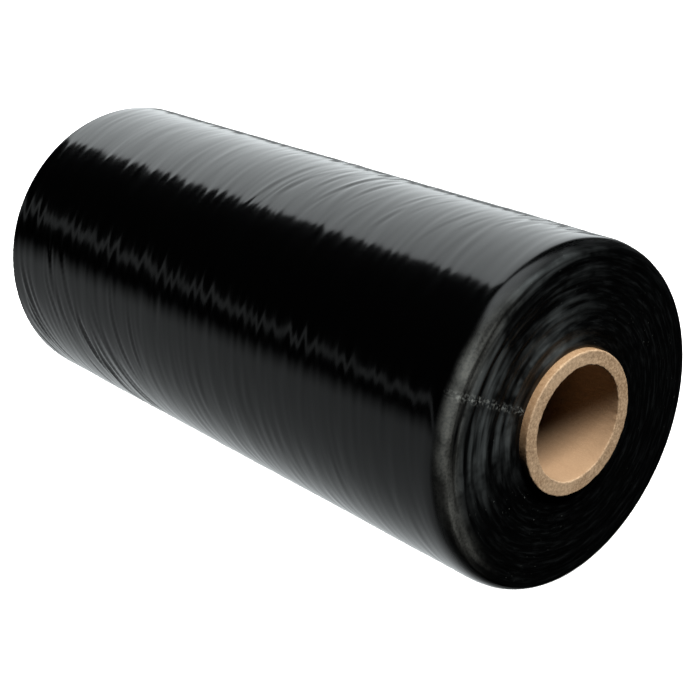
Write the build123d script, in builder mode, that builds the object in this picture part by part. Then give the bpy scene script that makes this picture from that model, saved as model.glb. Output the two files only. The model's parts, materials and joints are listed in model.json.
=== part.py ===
"""Stretch wrap roll: black stretch film wound on a kraft cardboard core.

The roll lies on its side. X runs along the roll's axis, +Z is up, and the
origin is on the surface that the roll lies on, midway along the roll. All
dimensions are in millimetres.
"""
import os
from math import sqrt

from build123d import *

# Film body
film_width = 500.0          # width of the film web, so the length of the winding
film_radius = 116.0         # outside radius of the full roll
shoulder_front_run = 14.0   # rounded edge of the +X end, measured along the roll
shoulder_front_drop = 7.0   # and measured towards the axis
shoulder_back_run = 5.0     # rounded edge of the -X end, measured along the roll
shoulder_back_drop = 22.0   # and measured towards the axis
flat_spot_width = 24.0      # width of the flat that the soft roll's own weight makes

# Core
core_bore_radius = 38.0     # 76 mm (3 in) core
core_wall = 10.0            # thick spirally wound wall
core_stand_out = 5.0        # how far the core stands proud of the film at each end
core_edge_break = 0.6       # slightly crushed, rounded rims of the cut tube

# Derived sizes
core_outer_radius = core_bore_radius + core_wall
core_length = film_width + 2 * core_stand_out
axis_height = sqrt(film_radius**2 - (flat_spot_width / 2) ** 2)
roll_axis = Axis((0, 0, axis_height), (1, 0, 0))

half = film_width / 2
inner = axis_height + core_outer_radius
outer = axis_height + film_radius

# The wound film: one closed body, open where the core passes through it.
# Half of its long section is turned about the roll's axis, with a soft
# elliptical shoulder at each end of the winding.
with BuildPart() as film_roll:
    with BuildSketch(Plane.XZ) as film_section:
        with BuildLine() as film_outline:
            Line((-half, inner), (half, inner))
            Line((half, inner), (half, outer - shoulder_front_drop))
            EllipticalCenterArc(
                (half - shoulder_front_run, outer - shoulder_front_drop),
                shoulder_front_run,
                shoulder_front_drop,
                start_angle=0,
                arc_size=90,
            )
            Line((half - shoulder_front_run, outer), (-half + shoulder_back_run, outer))
            EllipticalCenterArc(
                (-half + shoulder_back_run, outer - shoulder_back_drop),
                shoulder_back_run,
                shoulder_back_drop,
                start_angle=90,
                arc_size=90,
            )
            Line((-half, outer - shoulder_back_drop), (-half, inner))
        make_face()
    revolve(axis=roll_axis)
    # The flat spot under the roll, level with the surface that it lies on
    split(bisect_by=Plane.XY, keep=Keep.TOP)

# The cardboard core: a plain tube, cut square, with its four rims eased
with BuildPart() as core:
    with BuildSketch(Plane.YZ.offset(-core_length / 2)) as core_section:
        with Locations((0, axis_height)):
            Circle(core_outer_radius)
            Circle(core_bore_radius, mode=Mode.SUBTRACT)
    extrude(amount=core_length)
    fillet(core.edges().filter_by(GeomType.CIRCLE), radius=core_edge_break)

film_roll.part.label = "film_roll"
core.part.label = "core"

os.makedirs("parts", exist_ok=True)
export_step(film_roll.part, "parts/film_roll.step")
export_step(core.part, "parts/core.step")

for piece in (film_roll, core):
    box = piece.part.bounding_box()
    print(piece.part.label, round(piece.part.volume / 1e6, 4), "litres",
          "X", round(box.min.X, 3), round(box.max.X, 3),
          "Y", round(box.min.Y, 3), round(box.max.Y, 3),
          "Z", round(box.min.Z, 3), round(box.max.Z, 3))
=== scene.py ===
import json
import math

import bpy
import numpy as np
from mathutils import Matrix, Vector


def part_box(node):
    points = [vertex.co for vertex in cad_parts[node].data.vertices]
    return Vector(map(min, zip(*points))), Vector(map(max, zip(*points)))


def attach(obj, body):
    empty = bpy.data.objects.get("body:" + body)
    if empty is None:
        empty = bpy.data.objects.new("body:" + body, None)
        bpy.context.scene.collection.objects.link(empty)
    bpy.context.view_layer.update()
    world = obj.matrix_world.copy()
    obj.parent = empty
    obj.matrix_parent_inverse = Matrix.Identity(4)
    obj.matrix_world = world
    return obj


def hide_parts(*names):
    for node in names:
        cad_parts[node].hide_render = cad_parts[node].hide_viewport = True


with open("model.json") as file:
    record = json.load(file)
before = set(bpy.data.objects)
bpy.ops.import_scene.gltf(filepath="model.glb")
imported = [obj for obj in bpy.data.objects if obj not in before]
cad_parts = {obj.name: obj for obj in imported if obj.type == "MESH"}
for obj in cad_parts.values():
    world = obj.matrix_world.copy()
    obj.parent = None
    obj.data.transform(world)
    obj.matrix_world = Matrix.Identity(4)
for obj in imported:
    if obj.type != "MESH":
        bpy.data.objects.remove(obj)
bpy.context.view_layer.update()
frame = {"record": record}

# ---------------------------------------------------------------- sizes from the frame
film_lo, film_hi = (np.array(c, float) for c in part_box("film_roll"))
core_lo, core_hi = (np.array(c, float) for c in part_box("core"))
R = (film_hi[1] - film_lo[1]) / 2          # outside radius of the film
H = film_hi[2] - R                         # height of the roll's axis
X0, X1 = film_lo[0], film_hi[0]            # the film's two ends
CX0, CX1 = core_lo[0], core_hi[0]          # the core's two ends
CO = (core_hi[2] - core_lo[2]) / 2         # core outside radius
CI = [m for m in frame["record"]["mounts"] if m["name"] == "core_bore"][0]["dims"]["r_mm"] / 1000
TAU = 2 * math.pi


# ---------------------------------------------------------------- helpers: relief
def smooth(a, b, x):
    t = np.clip((np.asarray(x, float) - a) / (b - a), 0, 1)
    return t * t * (3 - 2 * t)


def streaks(nx, nt, lx, lt, sx, st, slant, seed, cut=None):
    """Seamless noise, stretched round the roll: sx and st are its grain along and round the roll,
    slant is how far it drifts along the roll for each metre round it. Its rms is 1."""
    rng = np.random.default_rng(seed)
    white = rng.standard_normal((nx, nt))
    fx = np.fft.fftfreq(nx, d=lx / nx)[:, None]
    ft = np.fft.fftfreq(nt, d=lt / nt)[None, :]
    keep = np.exp(-2 * math.pi**2 * ((sx * fx) ** 2 + (st * (ft + slant * fx)) ** 2))
    if cut:
        keep = keep * (1 - np.exp(-2 * math.pi**2 * (cut * fx) ** 2))
    out = np.fft.ifft2(np.fft.fft2(white) * keep).real
    return out / out.std()


def grid_mesh(name, P, closed_rows=False):
    """A closed-round grid: P[i, j] with j round the axis. closed_rows joins the last row to the first."""
    n, m = P.shape[:2]
    me = bpy.data.meshes.new(name)
    rows = n if closed_rows else n - 1
    i = np.arange(rows)[:, None]
    j = np.arange(m)[None, :]
    a = i * m + j
    b = i * m + (j + 1) % m
    c = ((i + 1) % n) * m + (j + 1) % m
    d = ((i + 1) % n) * m + j
    faces = np.stack([a, b, c, d], -1).reshape(-1, 4)
    me.from_pydata(P.reshape(-1, 3).tolist(), [], faces.tolist())
    me.validate()
    me.polygons.foreach_set("use_smooth", [True] * len(me.polygons))
    me.update()
    ob = bpy.data.objects.new(name, me)
    bpy.context.scene.collection.objects.link(ob)
    return ob


# ---------------------------------------------------------------- helpers: node trees
class Tree:
    def __init__(self, tree):
        self.t = tree
        self.t.nodes.clear()

    def node(self, kind, **props):
        n = self.t.nodes.new(kind)
        for k, v in props.items():
            setattr(n, k, v)
        return n

    def link(self, a, b):
        self.t.links.new(a, b)

    def put(self, socket, v):
        if hasattr(v, "is_output"):
            self.link(v, socket)
        elif isinstance(v, (tuple, list)) and len(v) == 3 and socket.type == "RGBA":
            socket.default_value = (*v, 1.0)
        else:
            socket.default_value = v

    def math(self, op, a, b=None, c=None, clamp=False):
        n = self.node("ShaderNodeMath", operation=op, use_clamp=clamp)
        for s, v in zip(n.inputs, (a, b, c)):
            if v is not None:
                self.put(s, v)
        return n.outputs[0]

    def add(self, a, b): return self.math("ADD", a, b)
    def sub(self, a, b): return self.math("SUBTRACT", a, b)
    def mul(self, a, b): return self.math("MULTIPLY", a, b)
    def mad(self, a, b, c): return self.math("MULTIPLY_ADD", a, b, c)

    def step(self, x, a, b, lo=0.0, hi=1.0):
        n = self.node("ShaderNodeMapRange", interpolation_type="SMOOTHSTEP")
        for s, v in zip(n.inputs[:5], (x, a, b, lo, hi)):
            self.put(s, v)
        return n.outputs[0]

    def mix(self, f, a, b):
        n = self.node("ShaderNodeMix", data_type="RGBA")
        self.put(n.inputs[0], f)
        self.put(n.inputs[6], a)
        self.put(n.inputs[7], b)
        return n.outputs[2]

    def mixf(self, f, a, b):
        n = self.node("ShaderNodeMix", data_type="FLOAT")
        self.put(n.inputs[0], f)
        self.put(n.inputs[2], a)
        self.put(n.inputs[3], b)
        return n.outputs[0]

    def xyz(self, v):
        n = self.node("ShaderNodeSeparateXYZ")
        self.put(n.inputs[0], v)
        return n.outputs[0], n.outputs[1], n.outputs[2]

    def vec(self, x, y, z):
        n = self.node("ShaderNodeCombineXYZ")
        for s, v in zip(n.inputs, (x, y, z)):
            self.put(s, v)
        return n.outputs[0]

    def noise(self, vector, scale, detail=2.0, rough=0.5, distort=0.0, dims="3D", w=None):
        n = self.node("ShaderNodeTexNoise", noise_dimensions=dims)
        if vector is not None:
            self.put(n.inputs["Vector"], vector)
        if w is not None:
            self.put(n.inputs["W"], w)
        self.put(n.inputs["Scale"], scale)
        self.put(n.inputs["Detail"], detail)
        self.put(n.inputs["Roughness"], rough)
        self.put(n.inputs["Distortion"], distort)
        return n.outputs[0]

    def bump(self, height, distance, strength=1.0, normal=None):
        n = self.node("ShaderNodeBump")
        self.put(n.inputs["Height"], height)
        n.inputs["Distance"].default_value = distance
        n.inputs["Strength"].default_value = strength
        if normal is not None:
            self.put(n.inputs["Normal"], normal)
        return n.outputs[0]


def material(name):
    m = bpy.data.materials.new(name)
    m.use_nodes = True
    t = Tree(m.node_tree)
    out = t.node("ShaderNodeOutputMaterial")
    b = t.node("ShaderNodeBsdfPrincipled")
    t.link(b.outputs[0], out.inputs[0])
    return m, t, b


def roll_coordinates(t):
    """Along the roll, distance from its axis, and the direction round it as a unit vector, in metres."""
    x, y, z = t.xyz(t.node("ShaderNodeTexCoord").outputs["Object"])
    zc = t.sub(z, H)
    r = t.math("SQRT", t.add(t.mul(y, y), t.mul(zc, zc)))
    safe = t.math("MAXIMUM", r, 0.001)
    cy = t.math("DIVIDE", y, safe)
    cz = t.math("DIVIDE", zc, safe)
    ang = t.math("ARCTAN2", cy, cz)      # 0 on top, negative towards -Y
    return x, y, z, r, cy, cz, ang


# ---------------------------------------------------------------- the wound film
NT = 168                                    # steps round the roll
theta = np.arange(NT) / NT * TAU            # 0 on top, positive towards -Y
SH1, SD1 = 0.014, 0.007                     # near shoulder: along the roll, towards the axis
SH0, SD0 = 0.005, 0.022                     # far shoulder


def film_profile():
    x, r, kind = [], [], []
    for s in np.linspace(0, 1, 58)[:-1]:                            # near end face, outwards
        x.append(X1); r.append(CO + 0.0002 + s * (R - SD1 - CO - 0.0002)); kind.append(1)
    for a in np.linspace(0, math.pi / 2, 13)[:-1]:                  # near shoulder
        x.append(X1 - SH1 + SH1 * math.cos(a)); r.append(R - SD1 + SD1 * math.sin(a)); kind.append(2)
    for s in np.linspace(0, 1, 360)[:-1]:                           # side
        x.append(X1 - SH1 + s * (X0 + SH0 - X1 + SH1)); r.append(R); kind.append(3)
    for a in np.linspace(math.pi / 2, math.pi, 15)[:-1]:            # far shoulder
        x.append(X0 + SH0 + SH0 * math.cos(a)); r.append(R - SD0 + SD0 * math.sin(a)); kind.append(4)
    for s in np.linspace(0, 1, 44):                                 # far end face, inwards
        x.append(X0); r.append(R - SD0 - s * (R - SD0 - CO - 0.0002)); kind.append(5)
    return np.array(x), np.array(r), np.array(kind)


px, pr, pk = film_profile()
n = len(px)

# Relief of the side, on a grid that is fine along the roll: h(x, round)
GX = 768
LX, LT = 0.64, TAU * R
gx = X0 - 0.07 + np.arange(GX) / GX * LX
tt = (theta[None, :] + math.pi) % TAU - math.pi                     # -pi..pi, positive towards -Y
arc = tt * R
relief = 0.000042 * streaks(GX, NT, LX, LT, 0.0017, 0.012, 0.12, 11, cut=0.005)
relief += 0.000036 * streaks(GX, NT, LX, LT, 0.0045, 0.035, 0.08, 12, cut=0.014)
relief += 0.00007 * streaks(GX, NT, LX, LT, 0.018, 0.120, 0.0, 13, cut=0.060)

# Separate long tension wrinkles: each a narrow ridge with a groove beside it
rng = np.random.default_rng(5)
wr = np.zeros_like(relief)


def wrinkle(xc, tc, half, width, slant, bow, amp):
    d = (arc - tc * R + math.pi * R) % LT - math.pi * R
    line = gx[:, None] - xc - slant * d - bow * d * d
    u = line / width
    wr[:] += amp * (-u) * np.exp(-u * u) * np.exp(-((d / half) ** 4))


for _ in range(46):                                                 # on top, towards the near end
    w = rng.uniform(0.0014, 0.0026)
    wrinkle(rng.uniform(0.0, 0.235), math.radians(rng.uniform(-25, 20)), rng.uniform(0.010, 0.028),
            w, -rng.uniform(0.05, 0.16), rng.uniform(-0.6, 0.6), rng.uniform(0.06, 0.26) * w)
for _ in range(26):                                                 # low on the front, towards the far end
    w = rng.uniform(0.0015, 0.0028)
    wrinkle(rng.uniform(-0.235, -0.07), math.radians(rng.uniform(82, 130)), rng.uniform(0.015, 0.040),
            w, rng.uniform(0.15, 0.42), rng.uniform(-0.4, 0.8), rng.uniform(0.20, 0.55) * w)
for _ in range(50):                                                 # all round
    w = rng.uniform(0.0015, 0.0035)
    wrinkle(rng.uniform(-0.24, 0.24), rng.uniform(-math.pi, math.pi), rng.uniform(0.015, 0.05),
            w, rng.uniform(-0.15, 0.15), rng.uniform(-0.5, 0.5), rng.uniform(0.005, 0.02) * w)
side = relief + wr

P = np.zeros((n, NT, 3))
rng = np.random.default_rng(8)
ring_a = np.interp(np.arange(n), np.arange(n), rng.uniform(-1, 1, n))
ring_b = streaks(256, NT, 0.256, LT, 0.0010, 0.08, 0.0, 21)[:, :]
row_h = np.empty((n, NT))
for j in range(NT):
    row_h[:, j] = np.interp(px, gx, side[:, j])
for i in range(n):
    k = pk[i]
    rad = np.full(NT, pr[i])
    xx = np.full(NT, px[i])
    if k == 3:
        rad = rad + row_h[i]
    elif k in (2, 4):
        depth = (R - pr[i]) / (SD1 if k == 2 else SD0)
        sgn = 1 if k == 2 else -1
        xx = xx + sgn * 0.0003 * depth * ring_b[i % 256]
        rad = rad + row_h[i] * (1 - depth) - 0.00012 * depth * np.abs(ring_b[(i * 7) % 256])
    else:
        sgn = 1 if k == 1 else -1
        q = (pr[i] - CO) / (R - CO)
        edge = smooth(0, 0.06, q)
        rel = 0.00016 * ring_a[i] + 0.00022 * ring_b[i % 256]
        xx = xx + sgn * (edge * rel - 0.0008 * (1 - q) * edge)
        if pr[i] - CO < 0.0006:
            xx = xx - sgn * 0.0006
    P[i, :, 0] = xx
    P[i, :, 1] = -rad * np.sin(theta)
    P[i, :, 2] = H + rad * np.cos(theta)
# the soft roll's own flat spot, and nothing lower than what it lies on
P[:, :, 2] = np.maximum(P[:, :, 2], 0.0)

film = grid_mesh("film", P, closed_rows=True)
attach(film, "root")
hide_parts("film_roll")

# ---------------------------------------------------------------- the cardboard core
MT = 192
phi = np.arange(MT) / MT * TAU


def core_profile():
    x, r, k = [], [], []
    e = 0.0007
    for a in np.linspace(0, math.pi / 2, 4):                        # near rim, inner edge
        x.append(CX1 - e + e * math.sin(a)); r.append(CI + e - e * math.cos(a)); k.append(1)
    for s in np.linspace(0, 1, 15)[1:-1]:
        x.append(CX1); r.append(CI + e + s * (CO - CI - 2 * e)); k.append(2)
    for a in np.linspace(0, math.pi / 2, 4):
        x.append(CX1 - e + e * math.cos(a)); r.append(CO - e + e * math.sin(a)); k.append(3)
    for s in np.linspace(0, 1, 8)[1:]:
        x.append(CX1 - e - s * 0.012); r.append(CO); k.append(4)
    x.append(0); r.append(CO); k.append(4)
    for s in np.linspace(1, 0, 8)[:-1]:
        x.append(CX0 + e + s * 0.012); r.append(CO); k.append(4)
    for a in np.linspace(math.pi / 2, 0, 4):
        x.append(CX0 + e - e * math.cos(a)); r.append(CO - e + e * math.sin(a)); k.append(5)
    for s in np.linspace(1, 0, 15)[1:-1]:
        x.append(CX0); r.append(CI + e + s * (CO - CI - 2 * e)); k.append(6)
    for a in np.linspace(math.pi / 2, 0, 4):
        x.append(CX0 + e - e * math.sin(a)); r.append(CI + e - e * math.cos(a)); k.append(7)
    for s in np.linspace(0, 1, 150)[1:-1]:                          # the bore
        x.append(CX0 + e + s * (CX1 - CX0 - 2 * e)); r.append(CI); k.append(8)
    return np.array(x), np.array(r), np.array(k)


cx, cr, ck = core_profile()
m = len(cx)
Q = np.zeros((m, MT, 3))
fib = streaks(256, MT, 0.06, TAU * CI, 0.0006, 0.0016, 0.0, 31)
fib2 = streaks(256, MT, 0.06, TAU * CI, 0.0015, 0.0060, 0.0, 32)
for i in range(m):
    rad = np.full(MT, cr[i])
    xx = np.full(MT, cx[i])
    row = i % 256
    if ck[i] in (1, 7):
        rad = rad + 0.00022 * np.abs(fib[row]) + 0.00018 * fib2[3]
    elif ck[i] in (3, 5):
        rad = rad - 0.00015 * np.abs(fib[row])
    if ck[i] in (1, 2, 3):
        xx = xx - 0.00006 * np.abs(fib[row])
    if ck[i] in (5, 6, 7):
        xx = xx + 0.00006 * np.abs(fib[row])
    if ck[i] == 8:
        # spiral ply: the inner ply's edges meet in a shallow helical seam
        pitch = 0.17
        u = ((cx[i] / pitch - phi / TAU) % 1.0)
        d = np.minimum(u, 1 - u) * pitch * 0.8
        rad = rad + 0.00035 * np.exp(-((d / 0.0022) ** 2)) + 0.00003 * fib[row]
    Q[i, :, 0] = xx
    Q[i, :, 1] = -rad * np.sin(phi)
    Q[i, :, 2] = H + rad * np.cos(phi)
core = grid_mesh("cardboard_core", Q, closed_rows=True)
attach(core, "root")
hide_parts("core")

# ---------------------------------------------------------------- film material
mat, t, b = material("black_stretch_film")
x, y, z, r, cy, cz, ang = roll_coordinates(t)
b.inputs["IOR"].default_value = 1.5
# end faces: everything further in than the shoulder, plus the shoulder itself
end = t.math("MAXIMUM", t.step(x, X1 - 0.010, X1 - 0.001), t.step(x, X0 + 0.006, X0 + 0.0005))
ring_v = t.vec(t.mul(r, 1.0), t.mul(cy, 0.010), t.mul(cz, 0.010))
rings = t.noise(ring_v, 520.0, 3.0, 0.65)
rings2 = t.noise(ring_v, 150.0, 2.0, 0.5)
col_side = (0.0005, 0.00055, 0.0006)
haze_v = t.vec(x, t.mul(cy, 0.02), t.mul(cz, 0.02))
haze = t.noise(haze_v, 180.0, 4.0, 0.6)
# painted reflection: hazy film patches, made lighter low on the roll and towards the far end where the floor
# is mirrored
low_painted_reflection = t.step(z, 0.115, 0.045)
haze_and_painted_reflection = t.mul(t.mul(low_painted_reflection, t.step(haze, 0.30, 0.75)), t.step(x, 0.10, -0.22, 0.20, 1.0))
side_col = t.mix(haze_and_painted_reflection, col_side, (0.030, 0.034, 0.038))
end_col = t.mix(t.step(rings, 0.45, 0.80), (0.0010, 0.0011, 0.0012), (0.0075, 0.0085, 0.009))
nick = t.noise(t.vec(x, y, z), 620.0, 2.0, 0.6)
# painted highlight: lighter arcs on the upper front part of the end stand in for the sheen of the turns'
# edges; the lighter patch on the front of the shoulder is partly hazy film edges and partly painted highlight
painted_sheen_sector = t.step(t.add(t.mul(cy, -0.80), t.mul(cz, 0.60)), 0.25, 1.0)
blot = t.noise(t.vec(x, y, z), 38.0, 3.0, 0.6)
painted_sheen_arcs = t.mul(t.mul(t.step(rings2, 0.40, 0.72), painted_sheen_sector), t.step(blot, 0.30, 0.62))
end_col = t.mix(t.mul(painted_sheen_arcs, 0.95), end_col, (0.070, 0.080, 0.083))
# hazy film edges with a painted highlight: the shoulder is made lighter only on its -Y side, where the light
# falls
front = t.step(t.add(t.mul(cy, -0.97), t.mul(cz, 0.10)), 0.45, 1.0)
shoulder_haze_and_painted_highlight = t.mul(t.mul(t.step(r, R - 0.020, R - 0.006), t.step(x, X1 - 0.013, X1 - 0.004)), front)
end_col = t.mix(t.mul(t.mul(shoulder_haze_and_painted_highlight, t.step(rings2, 0.25, 0.70)), t.mul(t.step(blot, 0.25, 0.60), t.step(nick, 0.30, 0.60, 0.45, 1.0))), end_col, (0.125, 0.130, 0.122))
# a line of small nicks across the turns, from the shoulder to the core
across = t.math("ABSOLUTE", t.add(t.sub(z, H), t.mad(y, 0.466, 0.0016)))
line_of = t.mul(t.mul(t.step(across, 0.0042, 0.0006), t.step(y, -0.035, -0.045)), t.step(nick, 0.46, 0.66))
stray = t.mul(t.step(nick, 0.70, 0.76), t.step(blot, 0.45, 0.65))
end_col = t.mix(t.math("MAXIMUM", t.mul(line_of, t.step(blot, 0.35, 0.62, 0.25, 0.8)), t.mul(stray, 0.5)), end_col, (0.24, 0.26, 0.25))
t.link(t.mix(end, side_col, end_col), b.inputs["Base Color"])
rough_side = t.step(haze, 0.3, 0.8, 0.10, 0.16)
rough_end = t.step(rings, 0.3, 0.8, 0.42, 0.62)
t.link(t.mixf(end, rough_side, rough_end), b.inputs["Roughness"])
fine = t.noise(t.vec(x, t.mul(cy, 0.012), t.mul(cz, 0.012)), 900.0, 3.0, 0.6)
height = t.mixf(end, t.mul(fine, 0.10), rings)
t.link(t.bump(height, 0.00025, 0.5), b.inputs["Normal"])
film.data.materials.append(mat)

# ---------------------------------------------------------------- cardboard material
mat, t, b = material("kraft_cardboard")
x, y, z, r, cy, cz, ang = roll_coordinates(t)
obj = t.vec(x, y, z)
speck = t.noise(obj, 560.0, 5.0, 0.75)
fleck = t.noise(obj, 420.0, 2.0, 0.5)
broad = t.noise(obj, 45.0, 3.0, 0.5)
ply = t.noise(t.vec(r, t.mul(cy, 0.012), t.mul(cz, 0.012)), 700.0, 2.0, 0.6)
face = t.math("MAXIMUM", t.step(x, CX1 - 0.0012, CX1 - 0.0004), t.step(x, CX0 + 0.0012, CX0 + 0.0004))
base = t.mix(t.step(speck, 0.35, 0.7), (0.25, 0.165, 0.098), (0.57, 0.41, 0.265))
base = t.mix(t.mul(t.step(broad, 0.35, 0.7), 0.35), base, (0.62, 0.47, 0.32))
base = t.mix(t.mul(t.step(ply, 0.55, 0.8), t.mul(face, 0.35)), base, (0.26, 0.165, 0.095))
base = t.mix(t.mul(t.step(fleck, 0.66, 0.74), 0.55), base, (0.12, 0.07, 0.04))
inside = t.mul(t.step(r, CI + 0.0012, CI + 0.0002), t.sub(1.0, face))
# painted shade: the inner ply's colour darkens with depth into the bore
painted_bore_shade = t.step(t.math("ABSOLUTE", x), CX1 - 0.018, CX1 - 0.080)
inner_ply_and_painted_shade = t.mix(painted_bore_shade, (0.36, 0.235, 0.140), (0.045, 0.022, 0.009))
base = t.mix(t.mul(inside, 0.88), base, inner_ply_and_painted_shade)
outside = t.mul(t.step(r, CO - 0.0006, CO - 0.0001), t.sub(1.0, face))
base = t.mix(t.mul(outside, 0.55), base, (0.26, 0.14, 0.06))
t.link(base, b.inputs["Base Color"])
b.inputs["Roughness"].default_value = 0.88
b.inputs["Specular IOR Level"].default_value = 0.25
t.link(t.bump(t.add(speck, t.mul(ply, 0.5)), 0.0003, 0.6), b.inputs["Normal"])
core.data.materials.append(mat)

# ---------------------------------------------------------------- floor
bpy.ops.mesh.primitive_plane_add(size=14, location=(0, 0, -0.0003))
floor = bpy.context.object
floor.name = "floor"
mat, t, b = material("pale_floor")
b.inputs["Base Color"].default_value = (0.86, 0.86, 0.86, 1)
b.inputs["Roughness"].default_value = 0.9
b.inputs["Specular IOR Level"].default_value = 0.0
floor.data.materials.append(mat)
floor.visible_glossy = False
floor.visible_diffuse = False

# ---------------------------------------------------------------- studio light
world = bpy.data.worlds.new("studio")
bpy.context.scene.world = world
world.use_nodes = True
t = Tree(world.node_tree)
out = t.node("ShaderNodeOutputWorld")
dx, dy, dz = t.xyz(t.node("ShaderNodeTexCoord").outputs["Generated"])
behind = t.mul(t.step(t.sub(dy, t.mul(dz, 0.045)), -0.012, 0.012), t.step(dz, -0.03, 0.03))
behind = t.mul(behind, t.step(dx, -0.46, -0.54))
cap = t.step(dz, 0.88, 0.93)
soft = t.mul(t.math("MAXIMUM", behind, cap), 1.75)
line = t.math("ABSOLUTE", t.add(dz, t.add(t.mul(dx, 0.3238), t.mul(dy, -0.1539))))
line = t.mul(t.mul(t.step(line, 0.045, 0.020), t.step(dy, -0.15, -0.30)), t.mul(t.step(dx, -0.2, -0.4), 0.26))
lowl = t.mul(t.step(dz, 0.0, -0.20), t.step(dy, -0.45, 0.5, 0.34, 0.80))
lowl = t.mul(lowl, t.step(dx, -0.10, -0.35, 0.0, 1.0))
total = t.add(t.add(soft, line), lowl)
bg = t.node("ShaderNodeBackground")
bg.inputs[0].default_value = (0.93, 0.985, 1.0, 1)
t.link(total, bg.inputs[1])
plain = t.node("ShaderNodeBackground")
plain.inputs[0].default_value = (1, 1, 1, 1)
plain.inputs[1].default_value = 0.97
mixs = t.node("ShaderNodeMixShader")
t.link(t.node("ShaderNodeLightPath").outputs["Is Camera Ray"], mixs.inputs[0])
t.link(bg.outputs[0], mixs.inputs[1])
t.link(plain.outputs[0], mixs.inputs[2])
t.link(mixs.outputs[0], out.inputs[0])


def area(name, loc, target, size, power, color=(1, 1, 1), glossy=True):
    li = bpy.data.lights.new(name, "AREA")
    li.shape = "SQUARE"
    li.size = size
    li.energy = power
    li.color = color
    ob = bpy.data.objects.new(name, li)
    bpy.context.scene.collection.objects.link(ob)
    ob.location = loc
    ob.rotation_euler = (Vector(target) - Vector(loc)).to_track_quat("-Z", "Y").to_euler()
    ob.visible_glossy = glossy
    return ob


def only_on(light, *objects):
    group = bpy.data.collections.new(light.name + "_on")
    for o in objects:
        group.objects.link(o)
    light.light_linking.receiver_collection = group


key_dir = Vector((0.46, -0.06, 0.89)).normalized()
area("key", Vector((X1, 0, H)) + 2.0 * key_dir, (X1, 0, H), 0.9, 74.0, (1.0, 0.97, 0.93), False)
fill = area("floor_fill", (-0.6, -1.9, 1.9), (0, 0, 0), 2.0, 210.0, (1, 1, 1), False)
fill.data.use_shadow = False
only_on(fill, floor)
only_on(area("floor_top", (0.2, 0.3, 3.2), (0, 0, 0), 3.0, 150.0, (1, 1, 1), False), floor)

# ---------------------------------------------------------------- camera
cam_data = bpy.data.cameras.new("camera")
cam_data.sensor_width = 36.0
cam_data.lens = 75.194
cam_data.clip_start = 0.01
cam = bpy.data.objects.new("camera", cam_data)
bpy.context.scene.collection.objects.link(cam)
rot = Matrix(((0.65639, -0.27805, 0.70132), (0.75442, 0.24192, -0.61018), (0.0, 0.92960, 0.36856)))
cam.matrix_world = Matrix.Translation((0.785733, -0.650269, 0.492845)) @ rot.to_4x4()
bpy.context.scene.camera = cam

bpy.context.scene.view_settings.view_transform = "Standard"
